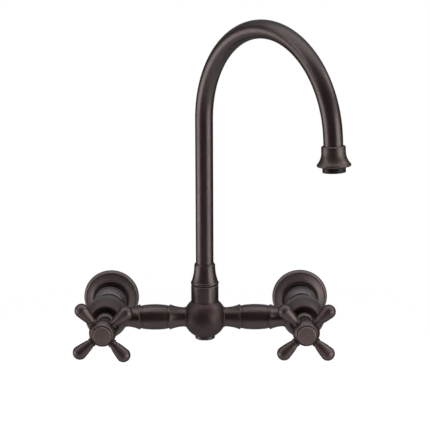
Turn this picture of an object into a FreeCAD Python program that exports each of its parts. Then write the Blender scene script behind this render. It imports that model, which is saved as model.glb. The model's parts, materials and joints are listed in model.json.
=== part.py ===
import FreeCAD, Part
import math
import os
from FreeCAD import Placement, Rotation, Vector

# Wall-mounted two handle kitchen faucet, in millimetres.
# The origin lies on the wall, midway between the two inlets. +Z is up, +Y goes into the wall,
# and the user stands on the -Y side. Along a valve, distances run out from its ball's centre.

# ==== driving dimensions

# ---- clearances
thread_gap = 0.05  # radial room in every screwed or plugged joint
running_gap = 0.05  # radial room of a shaft in its bore
seal_gap = 0.06  # radial room between a ring seal and its bore
swivel_gap = 0.3  # between the spout's collar and the neck below it
facet_room = 0.2  # a flat on a ball is this much wider than what sits on it
edge_round = 0.45  # radius on the edges that show

# ---- layout
inlet_centres = 203.2  # between the two wall inlets
bridge_reach = 80.0  # wall to the axis of the bridge
spout_rest_angle = 37.5  # degrees that the spout is swung to the right of straight out
left_handle_turn = -3.6  # degrees that the closed cross handle is off its diagonal
right_handle_turn = -0.5

# ---- balls
ball_r = 22.0
centre_way_wall = 0.8  # how much wider the way up through the middle ball is than the others

# ---- wall inlets and unions, with distances from the wall towards the user
inlet_thread_r = 10.4775
inlet_thread_length = 15.0
inlet_thread_chamfer = 1.0
inlet_wall = 3.9775
nipple_wall = 2.7225  # how much larger the nipple's union thread is than its wall thread
nipple_shoulder = 0.5
nut_wall = 4.1
nut_length = 20.0
nut_front = 42.0
nut_edge = 1.2
nut_cone = 7.0
nut_web = 5.0
nut_nose = 0.6  # how far the nut's nose stands out past the valve's neck
neck_show = 1.0  # of the tailpiece between nut and valve
neck_over_thread = 0.8
tail_shoulder = 2.0
tail_spigot_step = 2.0
tail_socket_depth = 11.0
tail_flange_t = 4.0
union_washer_t = 2.0
union_washer_step = 1.0

# ---- wall flanges
flange_r = 29.5
flange_rim_wall = 1.8
flange_foot_step = 0.5
flange_bead_t = 6.2
flange_bead_width = 2.3
flange_cove_width = 1.0
flange_cove_rise = 0.3
flange_step_drop = 1.0  # of the small step outside the lip
flange_step_width = 0.6
flange_lip_t = 9.4
flange_lip_width = 1.2
flange_pocket = 1.2  # gap between the union nut's outside and the flange's lip
flange_web_back = 1.0
flange_web_front = 4.5

# ---- bridge arms and couplings
arm_spigot_wall = 2.0
arm_foot_step = 2.2
arm_foot_width = 1.4
arm_waist_step = 1.5
arm_ridge_rise = 2.8
arm_ridge_width = 1.2
arm_groove_drop = 0.9
arm_groove_width = 2.0
arm_socket_wall = 0.9  # left between an arm's socket and the valve's chamber
inner_cove_length = 14.7  # from an inner arm's foot to its ridge
outer_cove_length = 13.1
coupling_thread_step = 1.0
coupling_wall = 2.65
coupling_crown = 0.97  # how much the barrel swells at its middle
coupling_lip = 0.5  # small bevel at the barrel's ends
coupling_washer_t = 2.0

# ---- centre neck and what turns in it
neck_rise = 12.5  # above the top of the ball
neck_chamfer = 0.6
neck_cove = 0.9  # radius between neck and ball
neck_wall = 2.05
bush_length = 5.7
bush_wall = 1.95
bush_inset = 0.3  # below the top of the neck
ring_seal_r = 1.05  # section radius of the spigot's ring seals
ring_seal_pitch = 4.5
retainer_r = 2.0
retainer_drop = 2.9  # below the bush
retainer_tip_gap = 0.2
retainer_groove_depth = 1.0
retainer_inset = 0.5
retainer_hex = 2.0
retainer_hex_depth = 1.6

# ---- bottom plug
plug_head_r = 10.25
plug_head_t = 3.3
plug_edge = 1.0
plug_seat_width = 2.35
plug_shank_length = 7.5
plug_hex = 8.0
plug_hex_depth = 4.5
plug_washer_t = 1.0
plug_washer_width = 1.5

# ---- spout
tube_r = 9.05
tube_wall = 1.2
riser_top = 206.5  # where the gooseneck's bend starts, above the bridge
bend_r = 97.5
bend_angle = 176.0
drop_show = 7.3  # straight tube between the bend and the nozzle
collar_bead_step = 0.3  # how far the bead stands out past the neck
collar_bead_t = 3.4
collar_cone_step = 0.8
collar_wall = 1.6
collar_height = 22.5
collar_lip = 1.6
collar_lip_bevel = 0.9
spigot_step = 0.95  # how much larger the spigot is than the tube
spigot_in_collar = 11.2
spigot_foot_room = 1.5

# ---- nozzle and aerator, measured up from the outlet's lip
aerator_show = 4.5
bell_length = 19.9
bell_collar_step = 2.2
bell_flare = 4.55
bell_rim_t = 4.6
bell_rim_step = 0.9
bell_rim_bevel = 0.6
bell_foot_bevel = 1.6
bell_foot_land = 0.3
bell_straight = 5.5
bell_socket = 10.4  # of the tube in the bell
bell_top_bevel = 0.8
bell_groove_drop = 1.7  # from the bell's top
bell_groove_width = 0.6
bell_groove_depth = 0.35
bell_thread_wall = 1.05
aerator_skirt_step = 0.6
aerator_edge = 0.9
aerator_thread_length = 7.5
aerator_wall = 1.2
outlet_step = 0.8
outlet_length = 3.0
insert_t = 5.0
insert_hole_share = 0.32  # hole radius over the pitch of the holes
insert_rings = 2
screen_t = 0.6
screen_hole_share = 0.28
screen_rings = 3
aerator_washer_width = 3.15

# ---- valves and their ceramic cartridges
disc_r = 10.0
disc_t = 3.0
disc_port_share = 0.27  # port radius over disc radius
disc_port_place = 0.56
housing_wall = 1.4
recess_step = 2.3
rim_width = 1.81  # of the flat round the recess
recess_depth = 4.5
seat_seal_t = 1.5
seat_seal_width = 4.45
driver_t = 2.5
driver_width = 6.0
driver_share = 0.85  # half the driver's length over the disc's radius
tongue_width = 4.0
tongue_t = 1.0
window_length = 7.0
window_width = 7.0
window_margin = 0.5
housing_shoulder_t = 6.0
housing_neck_wall = 1.5
housing_neck_length = 8.0

# ---- stem
stem_r = 4.4
stem_seal_room = 1.1
stem_seal_gap = 0.12  # how much smaller a ring seal's section is than its room
stem_seal_inset = 3.5
stem_seal_pitch = 5.0
stem_flat_depth = 0.7
stem_spline_step = 0.5
stem_spline_length = 12.0
stem_shoulder_show = 1.5  # of the stem's flats, behind the handle
stem_end_room = 2.0

# ---- bonnet
bonnet_flange_gap = 0.4
bonnet_flange_t = 2.5
bonnet_wall = 3.3
bonnet_length = 9.0
bonnet_crown_drop = 2.4  # how much narrower the crown ends than it starts
bonnet_crown_length = 5.5
bonnet_crown_bulge = 0.12
bonnet_groove_width = 0.8
bonnet_sleeve_wall = 2.85
bonnet_ring_step = 0.7
bonnet_ring_t = 8.2
bonnet_ring_edge = 0.8
bonnet_ring_bevel = 0.25

# ---- cross handles
stem_show = 5.5  # bare stem between bonnet and handle
cross_depth = 17.0  # from the hub's back to the plane of the arms
hub_r = 13.6
hub_skirt_r = 8.5
hub_nose = 9.2
hub_web_t = 5.5
cap_recess = 1.6
cap_rim = 0.57  # of the hub, left round the recess for the cap
cap_gap = 0.35
cap_rise = 2.6
cap_bevel = 0.9
cap_edge = 1.6
cap_crown = 0.35
cap_plug_length = 2.0
arm_count = 4
handle_arm_root_r = 4.1
handle_arm_ring_rise = 0.8
handle_arm_ring_t = 1.8
handle_arm_span = 38.0  # from the handle's axis to the tip of an arm
handle_bulb_r = 7.2
handle_belly_bulge = 0.35  # how much the flank stands out past a straight line
screw_r = 2.0
screw_clearance = 0.2
screw_head_step = 1.6
screw_head_t = 3.0
screw_length = 7.0  # of thread in the stem
screw_hex = 2.5
screw_hex_depth = 1.6
counterbore_gap = 0.6

# ==== sizes worked out from those above

# ---- radii along the water way
water_r = inlet_thread_r - inlet_wall
centre_way_r = water_r + centre_way_wall
nipple_r = inlet_thread_r + nipple_wall
nut_bore_r = nipple_r + thread_gap
nut_r = nipple_r + nut_wall
valve_neck_r = nipple_r + neck_over_thread
tail_r = valve_neck_r - tail_shoulder
tail_spigot_r = tail_r - tail_spigot_step
tail_flange_r = nipple_r - thread_gap
arm_spigot_r = water_r + arm_spigot_wall
arm_foot_r = arm_spigot_r + arm_foot_step
arm_waist_r = arm_spigot_r + arm_waist_step
arm_ridge_r = arm_waist_r + arm_ridge_rise
arm_groove_r = arm_ridge_r - arm_groove_drop
coupling_thread_r = arm_spigot_r + coupling_thread_step
coupling_bore_r = coupling_thread_r + thread_gap
coupling_end_r = coupling_bore_r + coupling_wall

# ---- cartridge and the valve's front
housing_bore_r = disc_r + thread_gap
housing_r = housing_bore_r + housing_wall
chamber_r = housing_r + thread_gap
recess_r = chamber_r + recess_step
valve_front = math.sqrt(ball_r**2 - (recess_r + rim_width) ** 2)
recess_floor = valve_front - recess_depth
driver_front_to_window = driver_t + window_margin
housing_top = recess_floor - housing_shoulder_t
window_middle = housing_top - window_margin - window_length / 2
driver_back = window_middle - window_length / 2 - driver_front_to_window
disc_split = driver_back - disc_t
disc_back = disc_split - disc_t
chamber_back = disc_back - seat_seal_t
housing_neck_end = recess_floor + housing_neck_length
stem_seal_bore_r = stem_r + stem_seal_room
stem_seal_r = stem_seal_room - stem_seal_gap
housing_neck_r = stem_seal_bore_r + housing_neck_wall
stem_seal_places = (housing_top + stem_seal_inset, housing_top + stem_seal_inset + stem_seal_pitch)

# ---- bonnet, stem and handle, one after the other
bonnet_back = recess_floor + bonnet_flange_t
bonnet_front = recess_floor + bonnet_length
bonnet_crown_end = bonnet_front + bonnet_crown_length
bonnet_ring_back = bonnet_crown_end + bonnet_groove_width
bonnet_end = bonnet_ring_back + bonnet_ring_t
bonnet_r = housing_neck_r + bonnet_wall
bonnet_bore_r = stem_r + running_gap
bonnet_sleeve_r = bonnet_bore_r + bonnet_sleeve_wall
bonnet_ring_r = bonnet_sleeve_r + bonnet_ring_step
hub_back = bonnet_end + stem_show
cross_at = hub_back + cross_depth
hub_front = cross_at + hub_nose
stem_shoulder = hub_back - stem_shoulder_show
stem_end = stem_shoulder + stem_spline_length
stem_spline_r = stem_r - stem_spline_step
stem_flat = stem_spline_r - stem_flat_depth
web_back = stem_end + stem_end_room
web_front = web_back + hub_web_t
screw_tip = stem_end - screw_length
screw_head_r = screw_r + screw_head_step
counterbore_r = screw_head_r + counterbore_gap

# ---- middle column, from the spout's tube outwards and from the neck's top down
spigot_r = tube_r + spigot_step
bush_bore_r = spigot_r + running_gap
bush_r = bush_bore_r + bush_wall
neck_bore_r = bush_r + thread_gap
neck_r = neck_bore_r + neck_wall
neck_top = ball_r + neck_rise
bush_top = neck_top - bush_inset
bush_foot = bush_top - bush_length
retainer_height = bush_foot - retainer_drop
ring_seal_heights = (retainer_height - 2 * ring_seal_pitch, retainer_height - ring_seal_pitch)
neck_bore_floor = retainer_height - 3 * ring_seal_pitch
spigot_foot = neck_bore_floor + spigot_foot_room
collar_foot = neck_top + swivel_gap
collar_top = collar_foot + collar_height
spigot_top = collar_foot + spigot_in_collar
collar_bead_r = neck_r + collar_bead_step
collar_cone_r = collar_bead_r - collar_cone_step
collar_bore_r = tube_r + thread_gap
collar_top_r = collar_bore_r + collar_wall

# ---- nozzle, from the tube outwards and up from the outlet's lip
bell_top = aerator_show + bell_length
bell_shoulder = bell_top - bell_socket
outlet_run = bell_top + drop_show
bell_top_r = tube_r + bell_collar_step
bell_rim_r = bell_top_r + bell_flare
bell_thread_r = bell_top_r - bell_thread_wall + thread_gap
aerator_thread_r = bell_thread_r - thread_gap
aerator_r = aerator_thread_r + aerator_skirt_step
aerator_bore_r = aerator_thread_r - aerator_wall
aerator_top = aerator_show + aerator_thread_length
outlet_r = aerator_bore_r - outlet_step

# ---- flange, from the union nut outwards
flange_hole_r = nut_r + flange_pocket
flange_lip_r = flange_hole_r + flange_lip_width
flange_foot_r = flange_r - flange_foot_step
flange_bead_r = flange_r - flange_bead_width
flange_cove_r = flange_bead_r - flange_cove_width

# ---- union, behind a ball's centre
valve_neck_back = bridge_reach - nut_front - neck_show
nut_seat = bridge_reach - nut_front + nut_web
tail_end = nut_seat + tail_flange_t
nipple_front = bridge_reach - tail_end - union_washer_t
nut_back = nut_front - nut_length

LEFT = -1
RIGHT = 1
UP = Vector(0, 0, 1)
OUTWARD = Vector(0, -1, 0)
CENTRE = Vector(0, -bridge_reach, 0)


def side_name(side):
    return "left" if side == LEFT else "right"


def valve_centre(side):
    return Vector(side * inlet_centres / 2, -bridge_reach, 0)


def inlet(side):
    return Vector(side * inlet_centres / 2, 0, 0)


# ==== shapes that most pieces are made of


def placed(shape, origin, axis):
    """The shape with its own Z axis laid along the axis, at the origin."""
    moved = shape.copy()
    moved.Placement = Placement(origin, Rotation(UP, axis))
    return moved


def eased(solid, rims):
    """A turned solid with a round on each rim, given as (radius, distance, size of the round)."""
    for radius, distance, size in rims:
        edges = []
        for edge in solid.Edges:
            if isinstance(edge.Curve, Part.Circle):
                off = math.hypot(edge.Curve.Radius - radius, edge.Curve.Center.z - distance)
                if off < 0.001:
                    edges.append(edge)
        solid = solid.makeFillet(size, edges)
    return solid


def turned(origin, axis, start, *steps, rims=()):
    """A solid turned about the axis. Steps are (radius, distance), or an arc's middle and end."""
    edges = []
    here = Vector(start[0], 0, start[1])
    for step in steps + (start,):
        end = Vector(step[-2], 0, step[-1])
        if len(step) == 4:
            middle = Vector(step[0], 0, step[1])
            edges.append(Part.Arc(here, middle, end).toShape())
        else:
            edges.append(Part.LineSegment(here, end).toShape())
        here = end
    face = Part.Face(Part.Wire(edges))
    solid = face.revolve(Vector(0, 0, 0), UP, 360)
    if solid.Volume < 0:
        solid.reverse()
    return placed(eased(solid, rims), origin, axis)


def rod(origin, axis, radius, start, end):
    return placed(Part.makeCylinder(radius, end - start, Vector(0, 0, start)), origin, axis)


def ring(origin, axis, inner_r, outer_r, start, end):
    return turned(origin, axis, (inner_r, start), (outer_r, start), (outer_r, end), (inner_r, end))


def bar(origin, axis, width, length, start, end):
    """A rectangular block centred on the axis."""
    block = Part.makeBox(width, length, end - start, Vector(-width / 2, -length / 2, start))
    return placed(block, origin, axis)


def hexagon(origin, axis, across, start, end):
    """A hexagonal prism, for the sockets that keys go into."""
    corner_r = across / math.sqrt(3)
    angles = [k * math.pi / 3 for k in range(7)]
    corners = [Vector(corner_r * math.cos(a), corner_r * math.sin(a), start) for a in angles]
    face = Part.Face(Part.makePolygon(corners))
    return placed(face.extrude(Vector(0, 0, end - start)), origin, axis)


def seal_ring(origin, axis, major_r, section_r, at):
    return placed(Part.makeTorus(major_r, section_r, Vector(0, 0, at)), origin, axis)


def flare(start_r, start_t, end_r, end_t):
    """An arc step that leaves its start along the axis and curves to the end."""
    rise = end_r - start_r
    run = end_t - start_t
    radius = (run * run + rise * rise) / (2 * rise)
    half = math.asin(run / radius) / 2
    return (start_r + radius * (1 - math.cos(half)), start_t + radius * math.sin(half), end_r, end_t)


def flare_in(start_r, start_t, end_r, end_t):
    """An arc step that arrives at its end along the axis."""
    middle_r, middle_t, _, _ = flare(end_r, end_t, start_r, 2 * end_t - start_t)
    return (middle_r, 2 * end_t - middle_t, end_r, end_t)


def bowed(start_r, start_t, end_r, end_t, bulge):
    """An arc step whose middle stands off its chord by bulge times the chord's length."""
    middle_r = (start_r + end_r) / 2 + bulge * (end_t - start_t)
    middle_t = (start_t + end_t) / 2 - bulge * (end_r - start_r)
    return (middle_r, middle_t, end_r, end_t)


def dome(start_r, start_t, top_t):
    """An arc step from a point to the axis that crosses the axis squarely."""
    height = top_t - start_t
    radius = (start_r**2 + height**2) / (2 * height)
    half = math.asin(start_r / radius) / 2
    return (radius * math.sin(half), top_t - radius * (1 - math.cos(half)), 0, top_t)


QUARTER = 0.2  # the bulge of a quarter circle's arc, nearly


# ==== the balls and the bridge between them


def ball_height(radius):
    """How far from a ball's centre its surface has this radius about an axis."""
    return math.sqrt(ball_r**2 - radius**2)


def facet_distance(foot_r):
    """How far from a ball's centre the flat lies that a foot of this radius sits on."""
    return ball_height(foot_r + facet_room)


def arm_socket_floor():
    return chamber_r + arm_socket_wall


def arm_socket(centre, axis):
    """The flat, the socket and the water way for one bridge arm."""
    flat = rod(centre, axis, ball_r, facet_distance(arm_foot_r), 2 * ball_r)
    socket = rod(centre, axis, arm_spigot_r + thread_gap, arm_socket_floor(), ball_r)
    way = rod(centre, axis, water_r, 0, ball_r)
    return [flat, socket, way]


def plug_shank_r():
    return plug_head_r - plug_seat_width


def plug_washer_r():
    return plug_shank_r() + thread_gap + plug_washer_width


def centre_body():
    """The hollow middle ball, open below for its plug and above for the spout."""
    plug_seat = -facet_distance(plug_head_r)
    washer_floor = plug_seat + plug_washer_t
    plug_bore_r = plug_shank_r() + thread_gap
    washer_bore_r = plug_washer_r() + thread_gap
    body = turned(
        CENTRE,
        UP,
        (plug_bore_r, washer_floor),
        (washer_bore_r, washer_floor),
        (washer_bore_r, plug_seat),
        (plug_head_r + facet_room, plug_seat),
        (ball_r, 0, neck_r, ball_height(neck_r)),
        (neck_r, neck_top - neck_chamfer),
        (neck_r - neck_chamfer, neck_top),
        (neck_bore_r, neck_top),
        (neck_bore_r, neck_bore_floor),
        (centre_way_r, neck_bore_floor),
        (centre_way_r, -centre_way_r),
        (plug_bore_r, -centre_way_r),
        rims=[(neck_r, ball_height(neck_r), neck_cove)],
    )
    cuts = arm_socket(CENTRE, Vector(LEFT, 0, 0)) + arm_socket(CENTRE, Vector(RIGHT, 0, 0))
    cuts.append(retainer_hole())
    return body.cut(cuts)


def bottom_plug():
    seat = facet_distance(plug_head_r)
    head_end = seat + plug_head_t
    shank_end = seat - plug_shank_length
    plug = turned(
        CENTRE,
        -UP,
        (0, shank_end),
        (plug_shank_r(), shank_end),
        (plug_shank_r(), seat),
        (plug_head_r, seat),
        (plug_head_r, head_end - plug_edge),
        bowed(plug_head_r, head_end - plug_edge, plug_head_r - plug_edge, head_end, QUARTER),
        (0, head_end),
    )
    return plug.cut(hexagon(CENTRE, -UP, plug_hex, head_end - plug_hex_depth, head_end + 1))


def bottom_plug_washer():
    seat = facet_distance(plug_head_r)
    bore_r = plug_shank_r() + thread_gap
    return ring(CENTRE, -UP, bore_r, plug_washer_r(), seat - plug_washer_t, seat)


def arm_ridge_at(cove_length):
    """Where the ridge of a bridge arm starts, from its ball's centre."""
    return facet_distance(arm_foot_r) + arm_foot_width + cove_length


def arm_end(cove_length):
    """Where an arm's shoulder meets the coupling, from its ball's centre."""
    return arm_ridge_at(cove_length) + arm_ridge_width + arm_groove_width


def coupling_length():
    return inlet_centres / 2 - arm_end(inner_cove_length) - arm_end(outer_cove_length)


def bridge_arm(centre, axis, cove_length):
    """A turned arm, from its spigot in the ball to its threaded end in the coupling."""
    seat = facet_distance(arm_foot_r)
    foot_end = seat + arm_foot_width
    ridge = arm_ridge_at(cove_length)
    ridge_end = ridge + arm_ridge_width
    shoulder = arm_end(cove_length)
    spigot_end = shoulder + (coupling_length() - coupling_washer_t) / 2
    return turned(
        centre,
        axis,
        (water_r, arm_socket_floor()),
        (arm_spigot_r, arm_socket_floor()),
        (arm_spigot_r, seat),
        (arm_foot_r, seat),
        bowed(arm_foot_r, seat, arm_waist_r, foot_end, QUARTER),
        flare(arm_waist_r, foot_end, arm_ridge_r, ridge),
        bowed(arm_ridge_r, ridge, arm_ridge_r, ridge_end, QUARTER),
        (arm_groove_r, ridge_end),
        (arm_groove_r, shoulder),
        (coupling_thread_r, shoulder),
        (coupling_thread_r, spigot_end),
        (water_r, spigot_end),
    )


def bridge_coupling(side):
    """The barrel that screws onto an inner and an outer arm."""
    start = arm_end(inner_cove_length)
    end = start + coupling_length()
    lip_r = coupling_end_r - coupling_lip
    return turned(
        CENTRE,
        Vector(side, 0, 0),
        (coupling_bore_r, start),
        (lip_r, start),
        (coupling_end_r, start + coupling_lip),
        (coupling_end_r + coupling_crown, (start + end) / 2, coupling_end_r, end - coupling_lip),
        (lip_r, end),
        (coupling_bore_r, end),
    )


def bridge_washer(side):
    middle = arm_end(inner_cove_length) + coupling_length() / 2
    start = middle - coupling_washer_t / 2
    end = middle + coupling_washer_t / 2
    return ring(CENTRE, Vector(side, 0, 0), water_r, coupling_thread_r, start, end)


def valve_body(side):
    """A valve's ball and rear neck, open in front for the cartridge and behind for the tailpiece."""
    centre = valve_centre(side)
    socket_floor = tail_socket_depth - valve_neck_back
    body = turned(
        centre,
        OUTWARD,
        (tail_spigot_r + thread_gap, -valve_neck_back),
        (valve_neck_r, -valve_neck_back),
        (valve_neck_r, -ball_height(valve_neck_r)),
        (ball_r, 0, ball_height(valve_front), valve_front),
        (recess_r, valve_front),
        (recess_r, recess_floor),
        (chamber_r, recess_floor),
        (chamber_r, chamber_back),
        (water_r, chamber_back),
        (water_r, socket_floor),
        (tail_spigot_r + thread_gap, socket_floor),
        rims=[
            (recess_r, valve_front, edge_round),
            (ball_height(valve_front), valve_front, edge_round),
        ],
    )
    return body.cut(arm_socket(centre, Vector(-side, 0, 0)))


# ==== the unions at the wall


def union_tailpiece(side):
    """The flanged tail that the union nut pulls against the inlet."""
    return turned(
        valve_centre(side),
        -OUTWARD,
        (water_r, valve_neck_back - tail_socket_depth),
        (tail_spigot_r, valve_neck_back - tail_socket_depth),
        (tail_spigot_r, valve_neck_back),
        (tail_r, valve_neck_back),
        (tail_r, nut_seat),
        (tail_flange_r, nut_seat),
        (tail_flange_r, tail_end),
        (water_r, tail_end),
    )


def union_washer(side):
    bore_r = water_r + union_washer_step
    return ring(valve_centre(side), -OUTWARD, bore_r, tail_flange_r, tail_end, tail_end + union_washer_t)


def inlet_nipple(side):
    """The connector that screws into the wall and takes the union nut."""
    tip = -inlet_thread_length
    return turned(
        inlet(side),
        OUTWARD,
        (water_r, tip),
        (inlet_thread_r - inlet_thread_chamfer, tip),
        (inlet_thread_r, tip + inlet_thread_chamfer),
        (inlet_thread_r, nipple_shoulder),
        (nipple_r, nipple_shoulder),
        (nipple_r, nipple_front),
        (water_r, nipple_front),
    )


def union_nut(side):
    cone = nut_front - nut_cone
    nose_r = valve_neck_r + nut_nose
    return turned(
        inlet(side),
        OUTWARD,
        (nut_bore_r, nut_back),
        (nut_r - nut_edge, nut_back),
        bowed(nut_r - nut_edge, nut_back, nut_r, nut_back + nut_edge, -QUARTER),
        (nut_r, cone),
        bowed(nut_r, cone, nose_r, nut_front, 0.06),
        (tail_r + thread_gap, nut_front),
        (tail_r + thread_gap, nut_front - nut_web),
        (nut_bore_r, nut_front - nut_web),
    )


def wall_flange(side):
    """A round cover: a bead at its rim, a cove, and a raised lip round a deep pocket."""
    cove_t = flange_bead_t - flange_cove_rise
    step_t = flange_lip_t - flange_step_drop
    return turned(
        inlet(side),
        OUTWARD,
        (nut_bore_r, flange_web_back),
        (flange_foot_r - flange_rim_wall, flange_web_back),
        (flange_foot_r - flange_rim_wall, 0),
        (flange_foot_r, 0),
        (flange_r, flange_bead_t / 2, flange_bead_r, flange_bead_t),
        (flange_cove_r, cove_t),
        bowed(flange_cove_r, cove_t, flange_lip_r + flange_step_width, step_t, -0.03),
        (flange_lip_r, step_t),
        (flange_lip_r, flange_lip_t),
        bowed(flange_lip_r, flange_lip_t, flange_hole_r, flange_lip_t, 0.5),
        (flange_hole_r, flange_web_front),
        (nut_bore_r, flange_web_front),
    )


# ==== what is inside each valve


def seat_seal(side):
    outer_r = chamber_r - thread_gap
    return ring(
        valve_centre(side), OUTWARD, outer_r - seat_seal_width, outer_r, chamber_back, disc_back
    )


def ported_disc(side, radius, start, end, port_direction):
    """A ceramic disc with two ports, one each side of the axis."""
    centre = valve_centre(side)
    port_r = disc_r * disc_port_share
    ports = []
    for way in (LEFT, RIGHT):
        place = centre + port_direction * (way * disc_r * disc_port_place)
        ports.append(rod(place, OUTWARD, port_r, start - 1, end + 1))
    return rod(centre, OUTWARD, radius, start, end).cut(ports)


def fixed_disc(side):
    return ported_disc(side, disc_r, disc_back, disc_split, UP)


def moving_disc(side):
    """The disc that the stem turns, slotted for the stem's tongue."""
    disc = ported_disc(side, disc_r - running_gap, disc_split, driver_back, Vector(1, 0, 0))
    slot_width = tongue_width + 2 * thread_gap
    slot_floor = driver_back - tongue_t - thread_gap
    slot = bar(valve_centre(side), OUTWARD, slot_width, 3 * disc_r, slot_floor, driver_back + 1)
    return disc.cut(slot)


def cartridge_housing(side):
    """The brass housing round the discs, with four windows that let the water out."""
    centre = valve_centre(side)
    housing = turned(
        centre,
        OUTWARD,
        (housing_bore_r, disc_back),
        (housing_r, disc_back),
        (housing_r, recess_floor),
        (housing_neck_r, recess_floor),
        (housing_neck_r, housing_neck_end),
        (stem_seal_bore_r, housing_neck_end),
        (stem_seal_bore_r, housing_top),
        (housing_bore_r, housing_top),
    )
    start = window_middle - window_length / 2
    end = window_middle + window_length / 2
    across = 4 * housing_r
    windows = [
        bar(centre, OUTWARD, window_width, across, start, end),
        bar(centre, OUTWARD, across, window_width, start, end),
    ]
    return housing.cut(windows)


def bonnet(side):
    """The crowned cap that holds the cartridge in the ball and guides the stem."""
    crown_r = bonnet_r - bonnet_crown_drop
    return turned(
        valve_centre(side),
        OUTWARD,
        (housing_neck_r + thread_gap, recess_floor),
        (recess_r - bonnet_flange_gap, recess_floor),
        (recess_r - bonnet_flange_gap, bonnet_back),
        (bonnet_r, bonnet_back),
        (bonnet_r, bonnet_front),
        bowed(bonnet_r, bonnet_front, crown_r, bonnet_crown_end, bonnet_crown_bulge),
        (bonnet_sleeve_r, bonnet_crown_end),
        (bonnet_sleeve_r, bonnet_ring_back),
        (bonnet_ring_r - bonnet_ring_bevel, bonnet_ring_back),
        (bonnet_ring_r, bonnet_ring_back + bonnet_ring_bevel),
        (bonnet_ring_r, bonnet_end - bonnet_ring_edge),
        bowed(
            bonnet_ring_r,
            bonnet_end - bonnet_ring_edge,
            bonnet_ring_r - bonnet_ring_edge,
            bonnet_end,
            QUARTER,
        ),
        (bonnet_bore_r, bonnet_end),
        (bonnet_bore_r, housing_neck_end),
        (housing_neck_r + thread_gap, housing_neck_end),
    )


def beside_flats(centre, flat):
    """The two blocks that lie outside a pair of flats this far from the valve's axis."""
    width = 4 * stem_r
    low = Part.makeBox(width, stem_r, stem_end, Vector(-width / 2, -flat - stem_r, stem_shoulder))
    high = Part.makeBox(width, stem_r, stem_end, Vector(-width / 2, flat, stem_shoulder))
    return [placed(low, centre, OUTWARD), placed(high, centre, OUTWARD)]


def stem_seal_major_r():
    return stem_seal_bore_r - seal_gap - stem_seal_r


def stem(side):
    """The spindle, from the tongue in the disc's slot to the two flats in the handle."""
    centre = valve_centre(side)
    shaft = rod(centre, OUTWARD, stem_r, driver_back, stem_shoulder)
    spline = rod(centre, OUTWARD, stem_spline_r, stem_shoulder, stem_end)
    length = 2 * disc_r * driver_share
    driver = bar(centre, OUTWARD, driver_width, length, driver_back, driver_back + driver_t)
    tongue = bar(centre, OUTWARD, tongue_width, length, driver_back - tongue_t, driver_back)
    body = shaft.fuse([spline.cut(beside_flats(centre, stem_flat)), driver, tongue])
    groove_r = stem_seal_major_r() - stem_seal_r - thread_gap / 2
    half = stem_seal_r + thread_gap
    cuts = [
        ring(centre, OUTWARD, groove_r, 2 * stem_r, at - half, at + half) for at in stem_seal_places
    ]
    cuts.append(rod(centre, OUTWARD, screw_r + thread_gap, screw_tip - 1, stem_end + 1))
    return body.cut(cuts)


def stem_seals(side):
    rings = [
        seal_ring(valve_centre(side), OUTWARD, stem_seal_major_r(), stem_seal_r, at)
        for at in stem_seal_places
    ]
    return Part.makeCompound(rings)


# ==== the cross handles


def handle_screw(side):
    centre = valve_centre(side)
    head_end = web_front + screw_head_t
    screw = turned(
        centre,
        OUTWARD,
        (0, screw_tip),
        (screw_r, screw_tip),
        (screw_r, web_front),
        (screw_head_r, web_front),
        (screw_head_r, head_end),
        (0, head_end),
    )
    return screw.cut(hexagon(centre, OUTWARD, screw_hex, head_end - screw_hex_depth, head_end + 1))


def handle_arm(centre, direction):
    """One teardrop arm, from inside the hub to the end of its bulb."""
    root = (counterbore_r + hub_r) / 2
    ring_start = hub_r
    ring_end = ring_start + handle_arm_ring_t
    ring_r = handle_arm_root_r + handle_arm_ring_rise
    bulb_at = handle_arm_span - handle_bulb_r
    flank_rise = handle_bulb_r - handle_arm_root_r
    belly_r = handle_arm_root_r + flank_rise / 2 + handle_belly_bulge
    diagonal = handle_bulb_r * math.sqrt(0.5)
    return turned(
        centre,
        direction,
        (0, root),
        (handle_arm_root_r, root),
        (handle_arm_root_r, ring_start),
        (ring_r, (ring_start + ring_end) / 2, handle_arm_root_r, ring_end),
        (belly_r, (ring_end + bulb_at) / 2, handle_bulb_r, bulb_at),
        (diagonal, bulb_at + diagonal, 0, handle_arm_span),
    )


def hub_face_r():
    """Radius of the flat front of the hub's ball."""
    return math.sqrt(hub_r**2 - hub_nose**2)


def cap_bore_r():
    return hub_face_r() - cap_rim


def cross_handle(side):
    """The ball-shaped hub with its skirt and four arms, bored for stem, screw and cap."""
    centre = valve_centre(side)
    cross = centre + OUTWARD * cross_at
    skirt_end = cross_at - math.sqrt(hub_r**2 - hub_skirt_r**2)
    hub = turned(
        centre,
        OUTWARD,
        (0, hub_back),
        (hub_skirt_r, hub_back),
        (hub_skirt_r, skirt_end),
        (hub_r, cross_at, hub_face_r(), hub_front),
        (0, hub_front),
        rims=[(hub_face_r(), hub_front, edge_round)],
    )
    turn = left_handle_turn if side == LEFT else right_handle_turn
    arms = []
    for k in range(arm_count):
        angle = math.radians(turn + (k + 0.5) * 360 / arm_count)
        arms.append(handle_arm(cross, Vector(math.cos(angle), 0, math.sin(angle))))
    body = hub.fuse(arms)
    bore = rod(centre, OUTWARD, stem_spline_r + thread_gap, hub_back - 1, web_back)
    cuts = [bore.cut(beside_flats(centre, stem_flat + thread_gap))]
    cuts.append(rod(centre, OUTWARD, screw_r + screw_clearance, web_back - 1, web_front + 1))
    cuts.append(rod(centre, OUTWARD, counterbore_r, web_front, hub_front + 1))
    cuts.append(rod(centre, OUTWARD, cap_bore_r(), hub_front - cap_recess, hub_front + 1))
    return body.cut(cuts)


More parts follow.
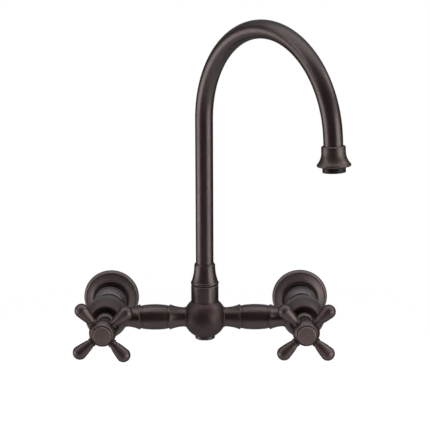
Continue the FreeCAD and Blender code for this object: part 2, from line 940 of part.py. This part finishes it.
def handle_cap(side):
    """The domed disc that plugs the front of the hub."""
    back = hub_front - cap_recess
    face = hub_front + cap_rise
    cap_r = cap_bore_r() - cap_gap
    plug_r = counterbore_r - thread_gap
    crown_r = cap_r - cap_edge
    return turned(
        valve_centre(side),
        OUTWARD,
        (0, back - cap_plug_length),
        (plug_r, back - cap_plug_length),
        (plug_r, back),
        (cap_r, back),
        (cap_r, face - cap_bevel),
        bowed(cap_r, face - cap_bevel, crown_r, face - cap_crown, QUARTER),
        dome(crown_r, face - cap_crown, face),
    )


# ==== the swivelling spout


def spout_direction():
    angle = math.radians(spout_rest_angle)
    return Vector(math.sin(angle), -math.cos(angle), 0)


def retainer_place():
    return CENTRE + UP * retainer_height


def retainer_hole():
    return rod(retainer_place(), -OUTWARD, retainer_r + thread_gap, spigot_r, 2 * neck_r)


def spout_retainer():
    """The grub screw in the back of the neck whose tip sits in the spigot's groove."""
    tip = spigot_r - retainer_groove_depth + retainer_tip_gap
    end = neck_r - retainer_inset
    screw = rod(retainer_place(), -OUTWARD, retainer_r, tip, end)
    return screw.cut(
        hexagon(retainer_place(), -OUTWARD, retainer_hex, end - retainer_hex_depth, end + 1)
    )


def swivel_bush():
    return ring(CENTRE, UP, bush_bore_r, bush_r, bush_foot, bush_top)


def spigot_seal_major_r():
    return neck_bore_r - seal_gap - ring_seal_r


def spout_spigot():
    """The brass tail of the spout that turns in the neck."""
    groove_r = spigot_seal_major_r() - ring_seal_r - thread_gap / 2
    half = ring_seal_r + thread_gap
    slot_r = spigot_r - retainer_groove_depth
    slot_half = retainer_r + retainer_tip_gap
    slot_foot = retainer_height - slot_half
    body = ring(CENTRE, UP, tube_r - tube_wall, spigot_r, spigot_foot, spigot_top)
    cuts = [ring(CENTRE, UP, groove_r, 2 * spigot_r, at - half, at + half) for at in ring_seal_heights]
    cuts.append(ring(CENTRE, UP, slot_r, 2 * spigot_r, slot_foot, slot_foot + 2 * slot_half))
    return body.cut(cuts)


def spigot_seals():
    rings = [seal_ring(CENTRE, UP, spigot_seal_major_r(), ring_seal_r, at) for at in ring_seal_heights]
    return Part.makeCompound(rings)


def spout_collar():
    """The tapered collar that joins spigot and tube and covers the top of the neck."""
    bead_top = collar_foot + collar_bead_t
    return turned(
        CENTRE,
        UP,
        (spigot_r + thread_gap, collar_foot),
        (neck_r - neck_chamfer, collar_foot),
        (collar_bead_r, collar_foot + collar_bead_t / 2, collar_cone_r, bead_top),
        flare_in(collar_cone_r, bead_top, collar_top_r, collar_top - collar_lip),
        (collar_top_r - collar_lip_bevel, collar_top),
        (collar_bore_r, collar_top),
        (collar_bore_r, spigot_top),
        (spigot_r + thread_gap, spigot_top),
    )


def outlet_lip():
    """The middle of the outlet's lip, and the direction from it up the tube."""
    out = spout_direction()
    angle = math.radians(bend_angle)
    bend_centre = CENTRE + UP * riser_top + out * bend_r
    bend_end = bend_centre - out * (bend_r * math.cos(angle)) + UP * (bend_r * math.sin(angle))
    flow = UP * math.cos(angle) + out * math.sin(angle)
    return bend_end + flow * outlet_run, -flow


def spout_tube():
    """Riser, gooseneck bend and short drop, as one bent tube."""
    inner_r = tube_r - tube_wall
    riser = ring(CENTRE, UP, inner_r, tube_r, spigot_top, riser_top)
    start = CENTRE + UP * riser_top
    outer_circle = Part.Wire(Part.makeCircle(tube_r, start, UP))
    inner_circle = Part.Wire(Part.makeCircle(inner_r, start, UP))
    section = Part.Face([outer_circle, inner_circle])
    out = spout_direction()
    bend = section.revolve(start + out * bend_r, UP.cross(out), bend_angle)
    lip, up_tube = outlet_lip()
    drop = ring(lip, up_tube, inner_r, tube_r, bell_shoulder, outlet_run)
    return riser.fuse([bend, drop]).removeSplitter()


def nozzle_bell():
    """The bell on the end of the tube, threaded inside for the aerator."""
    lip, up_tube = outlet_lip()
    rim_top = aerator_show + bell_rim_t - bell_rim_bevel
    rim_top_r = bell_rim_r - bell_rim_step
    groove_r = bell_top_r - bell_groove_depth
    groove_top = bell_top - bell_groove_drop
    return turned(
        lip,
        up_tube,
        (bell_thread_r, aerator_show),
        (aerator_r + bell_foot_land, aerator_show),
        (bell_rim_r - bell_foot_bevel, aerator_show + bell_rim_step),
        (bell_rim_r, aerator_show + bell_rim_t / 2, rim_top_r, rim_top),
        flare_in(rim_top_r, rim_top, bell_top_r, bell_top - bell_straight),
        (bell_top_r, groove_top - bell_groove_width),
        (groove_r, groove_top - bell_groove_width),
        (groove_r, groove_top),
        (bell_top_r, groove_top),
        (bell_top_r, bell_top - bell_top_bevel),
        (bell_top_r - bell_top_bevel, bell_top),
        (collar_bore_r, bell_top),
        (collar_bore_r, bell_shoulder),
        (bell_thread_r, bell_shoulder),
    )


def aerator_housing():
    lip, up_tube = outlet_lip()
    edge_r = aerator_r - aerator_edge
    return turned(
        lip,
        up_tube,
        (outlet_r, 0),
        (edge_r, 0),
        bowed(edge_r, 0, aerator_r, aerator_edge, QUARTER),
        (aerator_r, aerator_show),
        (aerator_thread_r, aerator_show),
        (aerator_thread_r, aerator_top),
        (aerator_bore_r, aerator_top),
        (aerator_bore_r, outlet_length),
        (outlet_r, outlet_length),
    )


def perforated(start, end, hole_share, rings):
    """A disc in the outlet with hexagonal rings of holes round a middle one."""
    lip, up_tube = outlet_lip()
    radius = aerator_bore_r - thread_gap
    pitch = radius / (rings + 1)
    hole_r = pitch * hole_share
    holes = []
    for row in range(-rings, rings + 1):
        count = 2 * rings + 1 - abs(row)
        for k in range(count):
            place = Vector((k - (count - 1) / 2) * pitch, row * pitch * math.sqrt(0.75), 0)
            holes.append(rod(place, UP, hole_r, start - 1, end + 1))
    return placed(rod(Vector(0, 0, 0), UP, radius, start, end).cut(holes), lip, up_tube)


def aerator_insert():
    return perforated(outlet_length, outlet_length + insert_t, insert_hole_share, insert_rings)


def aerator_screen():
    start = outlet_length + insert_t
    return perforated(start, start + screen_t, screen_hole_share, screen_rings)


def aerator_washer():
    lip, up_tube = outlet_lip()
    outer_r = aerator_thread_r - thread_gap
    inner_r = outer_r - aerator_washer_width
    return ring(lip, up_tube, inner_r, outer_r, aerator_top, bell_shoulder)


# ==== every piece, by the name of its node


def middle_pieces():
    return {
        "centre_body": centre_body(),
        "bottom_plug": bottom_plug(),
        "bottom_plug_washer": bottom_plug_washer(),
        "swivel_bush": swivel_bush(),
        "spout_retainer_screw": spout_retainer(),
        "spout_spigot": spout_spigot(),
        "spout_seal_rings": spigot_seals(),
        "spout_collar": spout_collar(),
        "spout_tube": spout_tube(),
        "nozzle_bell": nozzle_bell(),
        "aerator_housing": aerator_housing(),
        "aerator_insert": aerator_insert(),
        "aerator_screen": aerator_screen(),
        "aerator_washer": aerator_washer(),
    }


def side_pieces(side):
    away = Vector(side, 0, 0)
    return {
        "inner_bridge_arm": bridge_arm(CENTRE, away, inner_cove_length),
        "outer_bridge_arm": bridge_arm(valve_centre(side), -away, outer_cove_length),
        "bridge_coupling": bridge_coupling(side),
        "bridge_washer": bridge_washer(side),
        "valve_body": valve_body(side),
        "union_tailpiece": union_tailpiece(side),
        "union_washer": union_washer(side),
        "union_nut": union_nut(side),
        "inlet_nipple": inlet_nipple(side),
        "wall_flange": wall_flange(side),
        "seat_seal": seat_seal(side),
        "fixed_disc": fixed_disc(side),
        "cartridge_housing": cartridge_housing(side),
        "bonnet": bonnet(side),
        "moving_disc": moving_disc(side),
        "stem": stem(side),
        "stem_seal_rings": stem_seals(side),
        "cross_handle": cross_handle(side),
        "handle_screw": handle_screw(side),
        "handle_cap": handle_cap(side),
    }


def main():
    os.makedirs("parts", exist_ok=True)
    made = middle_pieces()
    for side in (LEFT, RIGHT):
        made.update({f"{side_name(side)}_{name}": shape for name, shape in side_pieces(side).items()})
    for node, shape in made.items():
        shape.exportStep(f"parts/{node}.step")
        print(f"{node}: {len(shape.Solids)} solids, {shape.Volume:.1f} mm3, valid {shape.isValid()}")


main()
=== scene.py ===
import json
import math

import bpy
from mathutils import Matrix, Vector

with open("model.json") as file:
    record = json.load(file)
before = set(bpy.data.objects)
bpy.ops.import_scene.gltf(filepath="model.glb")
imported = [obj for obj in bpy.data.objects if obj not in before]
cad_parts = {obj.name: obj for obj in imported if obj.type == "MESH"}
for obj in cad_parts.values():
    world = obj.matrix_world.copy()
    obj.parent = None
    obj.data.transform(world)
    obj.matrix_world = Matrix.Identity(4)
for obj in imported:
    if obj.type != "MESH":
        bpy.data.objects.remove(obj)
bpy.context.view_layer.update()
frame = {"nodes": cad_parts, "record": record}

# A wall-mounted two handle kitchen faucet in dark bronze, before white paper. Lengths are in
# metres, the wall is at Y = 0, +Z is up, and the camera stands on the -Y side.

# ---- the camera, solved from the photograph
FRAME_PIXELS = 430  # width of the photograph
FOCAL_PIXELS = 1564.48
SENSOR_MM = 36.0
CAMERA_PLACE = Vector((0.01646, -1.63454, 0.45315))
CAMERA_PITCH = math.radians(12.53)  # downwards
CAMERA_YAW = -0.0037  # in radians, as the roll
CAMERA_ROLL = -0.0033
CAMERA_NEAR = 0.05
CAMERA_FAR = 60

# ---- the world: a dim room before the object, a bright sky and a white backdrop behind it
WHITE = (1.0, 1.0, 1.0)
ROOM = (0.208, 0.150, 0.146)
SKY = (0.97, 1.00, 1.05)
SKY_TOWARD = (0.0, 0.77, 0.64)
SKY_FROM = 0.35  # cosine of the angle from there at which the sky starts to show
SKY_FULL = 1.05  # past 1, so that the sky keeps a share of the room
BACKDROP_FROM = 0.90  # the same for the backdrop, with the angle from +Y
BACKDROP_FULL = 0.96
HORIZON_FROM = -0.05  # rise of a ray at which sky and backdrop start to show
HORIZON_FULL = 0.10

# ---- the lamps, which face one point amid the object
LIT_POINT = Vector((0.0, -0.08, 0.10))
LAMP_DISTANCE = 1.6
SIDE_COLOUR = (1.0, 0.99, 0.985)
HIGH_COLOUR = (1.0, 0.99, 0.98)
TOP_COLOUR = (0.98, 0.99, 1.0)
TOP_PLACE = (0.0, -0.07, 1.35)

# ---- the floor
FLOOR_Z = -0.52
FLOOR_NEAR = 0.6  # the floor is whole this far out, and gone by the next distance
FLOOR_FAR = 2.2
FLOOR_TONE = (0.80, 0.80, 0.80)
FLOOR_ROUGH = 0.9
FLOOR_LIFT = 0.45  # added for the camera, so that the paper is white

# ---- the grain of the finishes: noise scales, and the share of the noise that a ramp spans
NOISE_ROUGHNESS = 0.55
NOISE_LOW = 0.3
NOISE_HIGH = 0.7
RELIEF_DETAIL = 2
BRONZE_MOTTLE = 38
BRONZE_MOTTLE_DETAIL = 6
BRONZE_MOTTLE_HIGH = 0.72
BRONZE_SHEEN = 90
BRONZE_SHEEN_DETAIL = 5
BRONZE_GRAIN = 700
BRONZE_GRAIN_DEPTH = 0.00002
BRONZE_GRAIN_STRENGTH = 0.25
BRONZE_METALLIC = 0.95
PLAIN_MOTTLE = 75
PLAIN_SHEEN = 300
PLAIN_GRAIN = 1200
PLAIN_GRAIN_DEPTH = 0.00003
PLAIN_GRAIN_STRENGTH = 0.3

# ---- the middle body's neck, smoother than its ball, with a painted highlight: its colour is painted paler than the ball's
NECK_FROM = 0.0165  # height at which the neck leaves the ball
NECK_FULL = 0.0195
# the neck's paler tone is a painted highlight, not a different metal
NECK_HIGHLIGHT_TONE = (0.098, 0.082, 0.079)
NECK_HIGHLIGHT_SHIFT = 0.45  # how far the neck's mottling moves up the ramp, towards the paler painted highlight tone
NECK_SMOOTHER = 0.15


# ==== node trees


def new_tree(owner):
    owner.use_nodes = True
    tree = owner.node_tree
    tree.nodes.clear()
    return tree


def math_node(tree, operation, *values):
    node = tree.nodes.new("ShaderNodeMath")
    node.operation = operation
    for socket, value in zip(node.inputs, values):
        if isinstance(value, (int, float)):
            socket.default_value = value
        else:
            tree.links.new(value, socket)
    return node.outputs[0]


def fade(tree, value, start, full):
    """0 up to start and 1 from full on, with a smooth step between."""
    node = tree.nodes.new("ShaderNodeMapRange")
    node.interpolation_type = "SMOOTHSTEP"
    node.inputs["From Min"].default_value = start
    node.inputs["From Max"].default_value = full
    tree.links.new(value, node.inputs["Value"])
    return node.outputs["Result"]


def axis_of(tree, vector, axis):
    node = tree.nodes.new("ShaderNodeSeparateXYZ")
    tree.links.new(vector, node.inputs[0])
    return node.outputs[axis]


def cosine_to(tree, direction, place):
    """The cosine of the angle between a ray and a place in the studio."""
    node = tree.nodes.new("ShaderNodeVectorMath")
    node.operation = "DOT_PRODUCT"
    node.inputs[1].default_value = Vector(place).normalized()
    tree.links.new(direction, node.inputs[0])
    return node.outputs["Value"]


def background(tree, colour):
    node = tree.nodes.new("ShaderNodeBackground")
    node.inputs["Color"].default_value = (*colour, 1)
    return node.outputs[0]


def mixed(tree, share, first, second):
    node = tree.nodes.new("ShaderNodeMixShader")
    tree.links.new(share, node.inputs["Fac"])
    tree.links.new(first, node.inputs[1])
    tree.links.new(second, node.inputs[2])
    return node.outputs[0]


# ==== camera, world and lamps


def add_camera():
    forward = Vector((
        math.sin(CAMERA_YAW) * math.cos(CAMERA_PITCH),
        math.cos(CAMERA_YAW) * math.cos(CAMERA_PITCH),
        -math.sin(CAMERA_PITCH),
    ))
    level_right = Vector((math.cos(CAMERA_YAW), -math.sin(CAMERA_YAW), 0))
    level_up = level_right.cross(forward)
    right = math.cos(CAMERA_ROLL) * level_right + math.sin(CAMERA_ROLL) * level_up
    up = math.cos(CAMERA_ROLL) * level_up - math.sin(CAMERA_ROLL) * level_right
    data = bpy.data.cameras.new("camera")
    data.sensor_width = SENSOR_MM
    data.lens = FOCAL_PIXELS / FRAME_PIXELS * SENSOR_MM
    data.clip_start = CAMERA_NEAR
    data.clip_end = CAMERA_FAR
    camera = bpy.data.objects.new("camera", data)
    bpy.context.scene.collection.objects.link(camera)
    turn = Matrix((right, up, -forward)).transposed().to_4x4()
    camera.matrix_world = Matrix.Translation(CAMERA_PLACE) @ turn
    bpy.context.scene.camera = camera


def add_world():
    """The room and sky that light the object, and white where camera and metal see the backdrop."""
    world = bpy.data.worlds.new("studio")
    bpy.context.scene.world = world
    tree = new_tree(world)
    direction = tree.nodes.new("ShaderNodeTexCoord").outputs["Generated"]
    above = fade(tree, axis_of(tree, direction, "Z"), HORIZON_FROM, HORIZON_FULL)
    sky = fade(tree, cosine_to(tree, direction, SKY_TOWARD), SKY_FROM, SKY_FULL)
    sky = math_node(tree, "MULTIPLY", sky, above)
    surface = mixed(tree, sky, background(tree, ROOM), background(tree, SKY))
    path = tree.nodes.new("ShaderNodeLightPath").outputs
    behind = fade(tree, axis_of(tree, direction, "Y"), BACKDROP_FROM, BACKDROP_FULL)
    behind = math_node(tree, "MULTIPLY", behind, above)
    mirrored = math_node(tree, "MULTIPLY", path["Is Glossy Ray"], behind)
    seen = math_node(tree, "MAXIMUM", path["Is Camera Ray"], path["Is Transmission Ray"])
    seen = math_node(tree, "MAXIMUM", seen, mirrored)
    surface = mixed(tree, seen, surface, background(tree, WHITE))
    out = tree.nodes.new("ShaderNodeOutputWorld")
    tree.links.new(surface, out.inputs["Surface"])


def studio_place(azimuth, elevation):
    """A place at the lamps' distance, its azimuth counted from -Y towards +X, in degrees."""
    turn = math.radians(azimuth)
    rise = math.radians(elevation)
    direction = (math.sin(turn) * math.cos(rise), -math.cos(turn) * math.cos(rise), math.sin(rise))
    return Vector(direction) * LAMP_DISTANCE


def soft_box(name, place, width, tall, radiance, colour):
    """A lamp at a place counted from the lit point, as bright as a surface of that radiance."""
    place = LIT_POINT + Vector(place)
    data = bpy.data.lights.new(name, "AREA")
    data.shape = "RECTANGLE"
    data.size = width
    data.size_y = tall
    data.energy = radiance * math.pi * width * tall
    data.color = colour
    lamp = bpy.data.objects.new(name, data)
    bpy.context.scene.collection.objects.link(lamp)
    lamp.location = place
    lamp.rotation_euler = (LIT_POINT - place).to_track_quat("-Z", "Y").to_euler()


def add_lights():
    soft_box("left_box", studio_place(-84, -8), width=1.35, tall=0.86, radiance=4.2, colour=SIDE_COLOUR)
    soft_box("right_box", studio_place(62, 1), width=1.30, tall=1.15, radiance=4.1, colour=SIDE_COLOUR)
    soft_box("high_left_box", studio_place(-73, 28), width=0.50, tall=0.50, radiance=3.8, colour=HIGH_COLOUR)
    soft_box("high_right_box", studio_place(92, 36), width=0.70, tall=0.50, radiance=3.6, colour=HIGH_COLOUR)
    soft_box("top_box", TOP_PLACE, width=3.9, tall=1.20, radiance=1.9, colour=TOP_COLOUR)


# ==== finishes


class Finish:
    """A node material in the making: procedural variation of colour, roughness and relief."""

    def __init__(self, name):
        self.material = bpy.data.materials.new(name)
        self.tree = new_tree(self.material)
        self.shader = self.tree.nodes.new("ShaderNodeBsdfPrincipled")
        self.out = self.tree.nodes.new("ShaderNodeOutputMaterial")
        self.link(self.shader.outputs[0], self.out.inputs["Surface"])
        self.place = self.tree.nodes.new("ShaderNodeTexCoord").outputs["Object"]

    def link(self, start, end):
        self.tree.links.new(start, end)

    def set(self, **values):
        for key, value in values.items():
            self.shader.inputs[key.replace("_", " ")].default_value = value

    def noise(self, scale, detail=4.0):
        noise = self.tree.nodes.new("ShaderNodeTexNoise")
        noise.inputs["Scale"].default_value = scale
        noise.inputs["Detail"].default_value = detail
        noise.inputs["Roughness"].default_value = NOISE_ROUGHNESS
        self.link(self.place, noise.inputs["Vector"])
        return noise.outputs["Fac"]

    def colour(self, value, stops):
        """The base colour, as a ramp of a value between stops of (position, colour)."""
        node = self.tree.nodes.new("ShaderNodeValToRGB")
        elements = node.color_ramp.elements
        while len(elements) < len(stops):
            elements.new(0.5)
        for element, (position, tone) in zip(elements, stops):
            element.position = position
            element.color = (*tone, 1)
        self.link(value, node.inputs["Fac"])
        self.link(node.outputs["Color"], self.shader.inputs["Base Color"])

    def span(self, value, low, high):
        node = self.tree.nodes.new("ShaderNodeMapRange")
        node.inputs["From Min"].default_value = NOISE_LOW
        node.inputs["From Max"].default_value = NOISE_HIGH
        node.inputs["To Min"].default_value = low
        node.inputs["To Max"].default_value = high
        self.link(value, node.inputs["Value"])
        return node.outputs["Result"]

    def relief(self, scale, distance, strength):
        bump = self.tree.nodes.new("ShaderNodeBump")
        bump.inputs["Distance"].default_value = distance
        bump.inputs["Strength"].default_value = strength
        self.link(self.noise(scale, RELIEF_DETAIL), bump.inputs["Height"])
        self.link(bump.outputs[0], self.shader.inputs["Normal"])


def bronze(name, dark, pale, smooth=0.28, rough=0.36, edge=0.45, with_neck=False):
    """A dark patina over metal; edge is how much it mirrors where it is seen along the surface."""
    finish = Finish(name)
    mottle_and_neck_highlight = finish.noise(BRONZE_MOTTLE, BRONZE_MOTTLE_DETAIL)
    sheen = finish.noise(BRONZE_SHEEN, BRONZE_SHEEN_DETAIL)
    roughness = finish.span(sheen, smooth, rough)
    stops = [(NOISE_LOW, dark), (BRONZE_MOTTLE_HIGH, pale)]
    # with a neck, the colour is painted paler up the centre body's neck: a painted highlight on top of the
    # random mottle
    if with_neck:
        neck = fade(finish.tree, axis_of(finish.tree, finish.place, "Z"), NECK_FROM, NECK_FULL)
        mottle_and_neck_highlight = math_node(finish.tree, "MULTIPLY_ADD", neck, NECK_HIGHLIGHT_SHIFT, mottle_and_neck_highlight)
        roughness = math_node(finish.tree, "MULTIPLY_ADD", neck, -NECK_SMOOTHER, roughness)
        stops.append((1.0, NECK_HIGHLIGHT_TONE))
    finish.colour(mottle_and_neck_highlight, stops)
    finish.link(roughness, finish.shader.inputs["Roughness"])
    finish.set(Metallic=BRONZE_METALLIC, Specular_Tint=(edge, edge * 1.01, edge * 1.03, 1))
    finish.relief(BRONZE_GRAIN, BRONZE_GRAIN_DEPTH, BRONZE_GRAIN_STRENGTH)
    return finish.material


def plain(name, dark, pale, smooth, rough, metallic=0.0, gloss=0.5):
    finish = Finish(name)
    finish.colour(finish.noise(PLAIN_MOTTLE), [(NOISE_LOW, dark), (NOISE_HIGH, pale)])
    roughness = finish.span(finish.noise(PLAIN_SHEEN), smooth, rough)
    finish.link(roughness, finish.shader.inputs["Roughness"])
    finish.set(Metallic=metallic, Specular_IOR_Level=gloss)
    finish.relief(PLAIN_GRAIN, PLAIN_GRAIN_DEPTH, PLAIN_GRAIN_STRENGTH)
    return finish.material


def make_finishes():
    return {
        "bronze": bronze("bronze_satin", (0.054, 0.043, 0.041), (0.071, 0.057, 0.054)),
        # darker than the satin bronze: painted shade on the middle ball, with the painted highlight on its
        # neck
        "body": bronze(
            "bronze_body_painted_shade_and_highlight", (0.044, 0.032, 0.031), (0.056, 0.042, 0.041),
            smooth=0.43, rough=0.51, edge=0.5, with_neck=True,
        ),
        "bell": bronze(
            "bronze_bell", (0.064, 0.053, 0.049), (0.084, 0.070, 0.065),
            smooth=0.38, rough=0.45, edge=0.3,
        ),
        # darker than the satin bronze: painted shade on the valve balls
        "ball": bronze(
            "bronze_ball_painted_shade", (0.044, 0.034, 0.033), (0.056, 0.044, 0.042),
            smooth=0.46, rough=0.54, edge=0.85,
        ),
        "cap": bronze(
            "bronze_cap", (0.120, 0.096, 0.092), (0.151, 0.122, 0.117),
            smooth=0.46, rough=0.56,
        ),
        # paler than the satin bronze: painted light on the union nuts
        "nut": bronze(
            "bronze_nut_painted_light", (0.078, 0.066, 0.065), (0.100, 0.086, 0.085),
            smooth=0.32, rough=0.40, edge=0.8,
        ),
        # paler than the satin bronze: painted light on the wall flanges
        "flange": bronze(
            "bronze_flange_painted_light", (0.090, 0.074, 0.072), (0.114, 0.095, 0.092),
            smooth=0.44, rough=0.54, edge=0.2,
        ),
        "bronze_tube": bronze(
            "bronze_tube_satin", (0.055, 0.046, 0.045), (0.070, 0.058, 0.056),
            smooth=0.32, rough=0.39,
        ),
        "handle_bronze": bronze(
            "bronze_handled", (0.067, 0.053, 0.051), (0.089, 0.071, 0.068),
            smooth=0.38, rough=0.48, edge=0.2,
        ),
        "stem_bronze": bronze("bronze_stem", (0.047, 0.036, 0.034), (0.062, 0.048, 0.046)),
        # darker than the satin bronze: painted shade for the gap between wall flange and union nut
        "inlet_bronze": bronze(
            "bronze_inlet_painted_shade", (0.042, 0.032, 0.031), (0.057, 0.044, 0.042),
            smooth=0.45, rough=0.6,
        ),
        "dark_metal": plain(
            "aerator_black", (0.010, 0.009, 0.009), (0.018, 0.017, 0.017),
            smooth=0.34, rough=0.46, metallic=0.2, gloss=0.12,
        ),
        "brass": plain(
            "brass_machined", (0.62, 0.44, 0.19), (0.72, 0.53, 0.26),
            smooth=0.22, rough=0.36, metallic=1.0,
        ),
        "steel": plain(
            "steel_machined", (0.50, 0.50, 0.51), (0.60, 0.60, 0.61),
            smooth=0.25, rough=0.40, metallic=1.0,
        ),
        "ceramic": plain(
            "ceramic_ground", (0.78, 0.77, 0.73), (0.86, 0.85, 0.81),
            smooth=0.20, rough=0.34,
        ),
        "rubber": plain(
            "rubber_moulded", (0.016, 0.016, 0.017), (0.028, 0.028, 0.030),
            smooth=0.55, rough=0.75,
        ),
        "fibre": plain(
            "fibre_pressed", (0.26, 0.07, 0.04), (0.38, 0.12, 0.07),
            smooth=0.65, rough=0.85,
        ),
        "nylon": plain(
            "nylon_moulded", (0.70, 0.69, 0.64), (0.78, 0.77, 0.73),
            smooth=0.38, rough=0.50,
        ),
    }


def finish_names():
    """The finish of each node: the record's slot, or another finish for pieces that show; some are paler or
    darker copies of the bronze that paint in light and shade.
    """
    names = {row["node"]: row["material_slot"] for row in frame["record"]["subparts"]}
    names["centre_body"] = "body"
    names["nozzle_bell"] = "bell"
    names["spout_collar"] = "bronze_tube"
    for side in ("left", "right"):
        names[side + "_valve_body"] = "ball"
        names[side + "_handle_cap"] = "cap"
        names[side + "_union_nut"] = "nut"
        names[side + "_union_tailpiece"] = "bronze"
        names[side + "_wall_flange"] = "flange"
    return names


def finish_pieces():
    finishes = make_finishes()
    names = finish_names()
    for node, piece in frame["nodes"].items():
        for slot in piece.material_slots:
            slot.material = finishes[names[node]]


# ==== floor


def floor_material():
    """White paper that takes a shadow, fades out with distance and is clear from below."""
    finish = Finish("floor_paper")
    finish.set(Base_Color=(*FLOOR_TONE, 1), Roughness=FLOOR_ROUGH)
    tree = finish.tree
    path = tree.nodes.new("ShaderNodeLightPath").outputs
    lift = math_node(tree, "MULTIPLY", path["Is Camera Ray"], FLOOR_LIFT)
    glow = tree.nodes.new("ShaderNodeEmission")
    glow.inputs["Color"].default_value = (*WHITE, 1)
    tree.links.new(lift, glow.inputs["Strength"])
    lit = tree.nodes.new("ShaderNodeAddShader")
    tree.links.new(finish.shader.outputs[0], lit.inputs[0])
    tree.links.new(glow.outputs[0], lit.inputs[1])
    length = tree.nodes.new("ShaderNodeVectorMath")
    length.operation = "LENGTH"
    tree.links.new(finish.place, length.inputs[0])
    gone = fade(tree, length.outputs["Value"], FLOOR_NEAR, FLOOR_FAR)
    from_below = tree.nodes.new("ShaderNodeNewGeometry").outputs["Backfacing"]
    gone = math_node(tree, "MAXIMUM", gone, from_below)
    clear = tree.nodes.new("ShaderNodeBsdfTransparent")
    finish.link(mixed(tree, gone, lit.outputs[0], clear.outputs[0]), finish.out.inputs["Surface"])
    return finish.material


def add_floor():
    half = FLOOR_FAR
    corners = [(-half, -half, 0), (half, -half, 0), (half, half, 0), (-half, half, 0)]
    mesh = bpy.data.meshes.new("floor")
    mesh.from_pydata(corners, [], [(0, 1, 2, 3)])
    mesh.materials.append(floor_material())
    floor = bpy.data.objects.new("floor", mesh)
    floor.location = (0, 0, FLOOR_Z)
    bpy.context.scene.collection.objects.link(floor)


add_camera()
add_world()
add_lights()
finish_pieces()
add_floor()

bpy.context.scene.view_settings.view_transform = "Standard"
